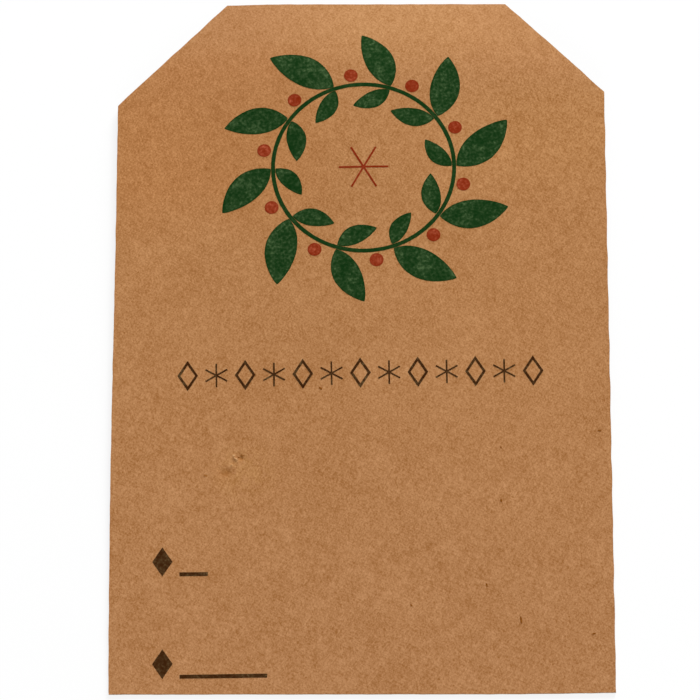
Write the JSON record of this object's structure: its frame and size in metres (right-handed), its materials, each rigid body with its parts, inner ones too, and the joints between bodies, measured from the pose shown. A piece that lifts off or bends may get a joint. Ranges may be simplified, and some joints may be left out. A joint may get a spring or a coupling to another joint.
{
  "type": "adhesive gift tag",
  "caption": "Flat kraft paper gift tag with clipped upper corners, an adhesive back and a slit release liner whose halves peel away.",
  "frame": {"origin": "under the middle of the tag, on the surface that the liner lies on", "axes": "+Y from the square foot to the clipped end, +X to the tag's right, +Z out of the printed face"},
  "size_m": [0.0508, 0.0762, 0.0002],
  "materials": {
    "kraft_paper": "matte",
    "adhesive": "gloss",
    "release_paper": "satin",
    "green_ink": "matte",
    "red_ink": "matte",
    "dark_ink": "matte"
  },
  "bodies": {
    "tag": {"kraft_face": "kraft_paper", "adhesive_film": "adhesive"},
    "upper_backing": {"upper_liner": "release_paper"},
    "lower_backing": {"lower_liner": "release_paper"}
  },
  "joints": [
    {"name": "upper_liner_peel", "type": "hinge", "parent": "tag", "child": "upper_backing", "pos_m": [0, 0.0382, 0.00007], "axis": [1, 0, 0], "range_deg": [0, 190]},
    {"name": "lower_liner_peel", "type": "hinge", "parent": "tag", "child": "lower_backing", "pos_m": [0, -0.0382, 0.00007], "axis": [-1, 0, 0], "range_deg": [0, 190]}
  ]
}
